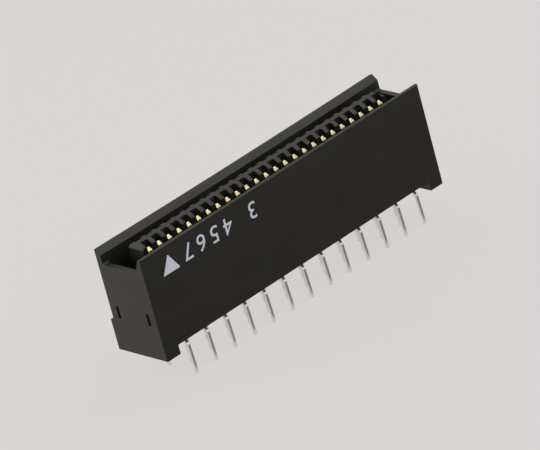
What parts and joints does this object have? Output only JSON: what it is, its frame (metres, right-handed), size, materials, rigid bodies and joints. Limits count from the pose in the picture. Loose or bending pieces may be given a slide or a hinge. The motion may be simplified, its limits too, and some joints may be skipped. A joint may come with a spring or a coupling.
{
  "type": "pin header",
  "caption": "Tall shrouded board-to-board pin header: black moulded housing, slotted centre tongue with gold blades, and solder tails fanned out below.",
  "frame": {"origin": "on the board plane, where the two feet seat, at the centre of the contact field", "axes": "+X along the rows away from the marked end, +Y across the rows towards the stepped long wall, +Z out of the board towards the mating side"},
  "size_m": [0.0368, 0.007, 0.0135],
  "materials": {
    "housing": "moulded, fine satin grain",
    "contact": "gold on the blades, bright tin on the tails"
  },
  "bodies": {
    "root": {"housing": "housing", "contact_front_01": "contact", "contact_front_02": "contact", "contact_front_03": "contact", "contact_front_04": "contact", "contact_front_05": "contact", "contact_front_06": "contact", "contact_front_07": "contact", "contact_front_08": "contact", "contact_front_09": "contact", "contact_front_10": "contact", "contact_front_11": "contact", "contact_front_12": "contact", "contact_front_13": "contact", "contact_front_14": "contact", "contact_front_15": "contact", "contact_front_16": "contact", "contact_front_17": "contact", "contact_front_18": "contact", "contact_front_19": "contact", "contact_front_20": "contact", "contact_front_21": "contact", "contact_front_22": "contact", "contact_front_23": "contact", "contact_front_24": "contact", "contact_front_25": "contact", "contact_rear_01": "contact", "contact_rear_02": "contact", "contact_rear_03": "contact", "contact_rear_04": "contact", "contact_rear_05": "contact", "contact_rear_06": "contact", "contact_rear_07": "contact", "contact_rear_08": "contact", "contact_rear_09": "contact", "contact_rear_10": "contact", "contact_rear_11": "contact", "contact_rear_12": "contact", "contact_rear_13": "contact", "contact_rear_14": "contact", "contact_rear_15": "contact", "contact_rear_16": "contact", "contact_rear_17": "contact", "contact_rear_18": "contact", "contact_rear_19": "contact", "contact_rear_20": "contact", "contact_rear_21": "contact", "contact_rear_22": "contact", "contact_rear_23": "contact", "contact_rear_24": "contact", "contact_rear_25": "contact"}
  },
  "joints": []
}
